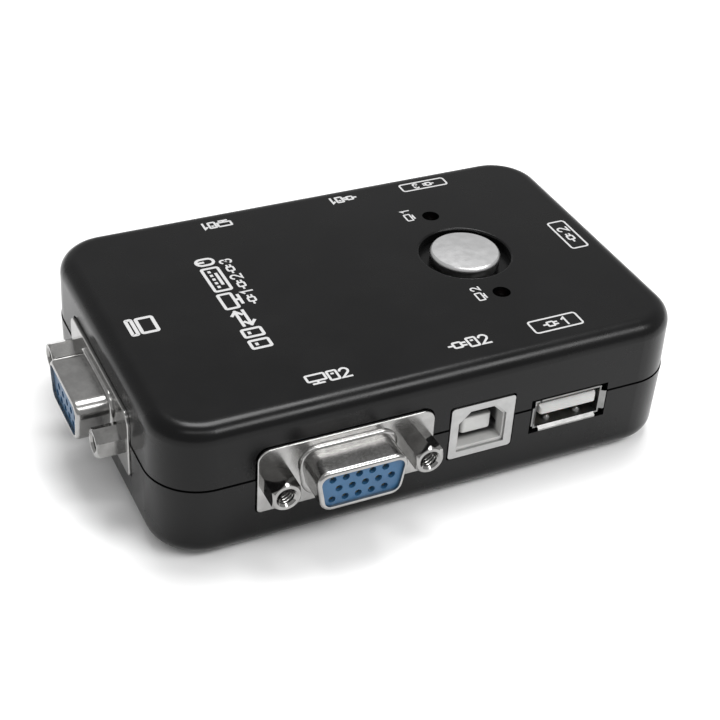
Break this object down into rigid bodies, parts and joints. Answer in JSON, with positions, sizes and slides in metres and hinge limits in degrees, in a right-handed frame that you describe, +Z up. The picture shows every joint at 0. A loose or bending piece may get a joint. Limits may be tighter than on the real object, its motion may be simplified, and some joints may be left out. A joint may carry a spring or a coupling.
{
  "type": "kvm switch",
  "caption": "Small black desktop KVM switch with video sockets on three sides, USB sockets, a round push button and two indicator lamps on top.",
  "frame": {"origin": "middle of the whole object's footprint, sockets included, on the plane the rubber feet stand on", "axes": "+Z up; +X towards the push-button and single-USB end, -X the monitor end; -Y the side of computer 2, +Y the side of computer 1"},
  "size_m": [0.1024, 0.075, 0.0273],
  "materials": {
    "black_moulding": "black moulding compound",
    "blue_plastic": "blue moulded plastic",
    "board_laminate": "green solder mask on glass-fibre laminate",
    "button_silver": "silver paint on moulded plastic",
    "capacitor_body": "tan ceramic",
    "capacitor_sleeve": "dark shrink sleeve",
    "case_plastic": "satin black moulded ABS with a very fine texture",
    "flange_nickel": "bright nickel plate on drawn steel",
    "foot_rubber": "dull black rubber",
    "gold_contact": "gold-flashed contact alloy",
    "lamp_epoxy": "dark tinted epoxy",
    "light_plastic": "off-white moulded plastic",
    "lock_steel": "tinned steel",
    "nut_nickel": "bright nickel plate",
    "plunger_plastic": "dark grey moulded plastic",
    "resistor_body": "black film on alumina",
    "screw_steel": "zinc-plated steel",
    "sheet_steel": "plain sheet steel",
    "tinned_lead": "tinned copper",
    "usb_a_steel": "bright nickel plate on folded steel",
    "usb_b_steel": "satin nickel plate on folded steel"
  },
  "bodies": {
    "enclosure": {"bottom_cover": "case_plastic", "can_capacitors": "capacitor_sleeve", "case_screws": "screw_steel", "chip_capacitors": "capacitor_body", "chip_resistors": "resistor_body", "circuit_board": "board_laminate", "crystal": "sheet_steel", "hub_chip": "black_moulding", "hub_chip_pins": "tinned_lead", "lamp_leads": "tinned_lead", "monitor_socket_board_locks": "lock_steel", "monitor_socket_contacts": "gold_contact", "monitor_socket_insulator": "blue_plastic", "monitor_socket_jack_nuts": "nut_nickel", "monitor_socket_shell": "flange_nickel", "pc1_lamp": "lamp_epoxy", "pc1_usb_socket_contacts": "gold_contact", "pc1_usb_socket_insulator": "light_plastic", "pc1_usb_socket_shell": "usb_b_steel", "pc1_video_socket_board_locks": "lock_steel", "pc1_video_socket_contacts": "gold_contact", "pc1_video_socket_insulator": "blue_plastic", "pc1_video_socket_jack_nuts": "nut_nickel", "pc1_video_socket_shell": "flange_nickel", "pc2_lamp": "lamp_epoxy", "pc2_usb_socket_contacts": "gold_contact", "pc2_usb_socket_insulator": "light_plastic", "pc2_usb_socket_shell": "usb_b_steel", "pc2_video_socket_board_locks": "lock_steel", "pc2_video_socket_contacts": "gold_contact", "pc2_video_socket_insulator": "blue_plastic", "pc2_video_socket_jack_nuts": "nut_nickel", "pc2_video_socket_shell": "flange_nickel", "rubber_feet": "foot_rubber", "switch_base": "black_moulding", "switch_cover": "sheet_steel", "switch_dome": "sheet_steel", "switch_legs": "tinned_lead", "top_cover": "case_plastic", "usb1_socket_contacts": "gold_contact", "usb1_socket_insulator": "light_plastic", "usb1_socket_shell": "usb_a_steel", "usb2_socket_contacts": "gold_contact", "usb2_socket_insulator": "light_plastic", "usb2_socket_shell": "usb_a_steel", "usb3_socket_contacts": "gold_contact", "usb3_socket_insulator": "light_plastic", "usb3_socket_shell": "usb_a_steel", "video_chip_pins": "tinned_lead", "video_chips": "black_moulding"},
    "button": {"button_cap": "button_silver", "switch_plunger": "plunger_plastic"}
  },
  "joints": [
    {"name": "button_press", "type": "slide", "parent": "enclosure", "child": "button", "axis": [0, 0, -1], "range_m": [0, 0.0003], "stiffness_N_per_m": 1500, "springref_m": -0.0004, "deforming": ["switch_dome"]}
  ]
}
